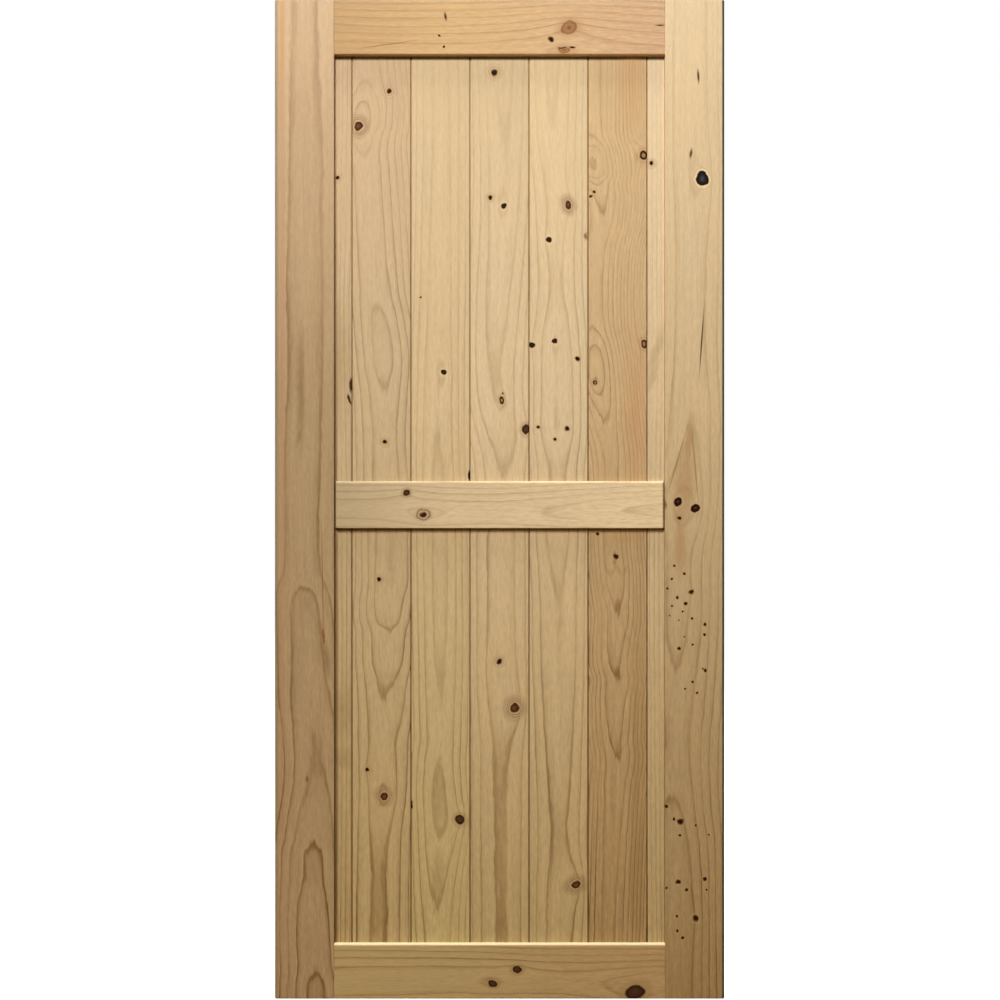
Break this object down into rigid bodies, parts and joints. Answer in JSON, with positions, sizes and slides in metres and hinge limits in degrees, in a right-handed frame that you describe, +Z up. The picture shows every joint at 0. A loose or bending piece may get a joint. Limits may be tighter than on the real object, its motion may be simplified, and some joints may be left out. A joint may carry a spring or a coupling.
{
  "type": "sliding barn door leaf",
  "caption": "Knotty pine sliding barn door leaf: two stiles, top and bottom rails, tongue-and-groove V-joint boards and a planted mid rail on each face.",
  "frame": {"origin": "on the top edge of the leaf, at the middle of its width and thickness, where the hangers carry it", "axes": "+Z up along the height, +X to the right seen from the front, front face towards -Y"},
  "size_m": [0.9144, 0.0348, 2.032],
  "materials": {
    "left_stile_pine": "bare planed knotty pine, unfinished, satin",
    "right_stile_pine": "bare planed knotty pine, unfinished, satin",
    "top_rail_pine": "bare planed knotty pine, unfinished, satin",
    "bottom_rail_pine": "bare planed knotty pine, unfinished, satin",
    "mid_rail_pine": "bare planed knotty pine, unfinished, satin",
    "plank_pine": "bare planed knotty pine, unfinished, satin",
    "warm_plank_pine": "bare planed knotty pine, unfinished, satin"
  },
  "bodies": {
    "root": {"left_stile": "left_stile_pine", "right_stile": "right_stile_pine", "top_rail": "top_rail_pine", "bottom_rail": "bottom_rail_pine", "front_mid_rail": "mid_rail_pine", "back_mid_rail": "mid_rail_pine", "plank_1": "plank_pine", "plank_2": "plank_pine", "plank_3": "plank_pine", "plank_4": "plank_pine", "plank_5": "plank_pine", "plank_6": "warm_plank_pine", "plank_7": "plank_pine"}
  },
  "joints": []
}
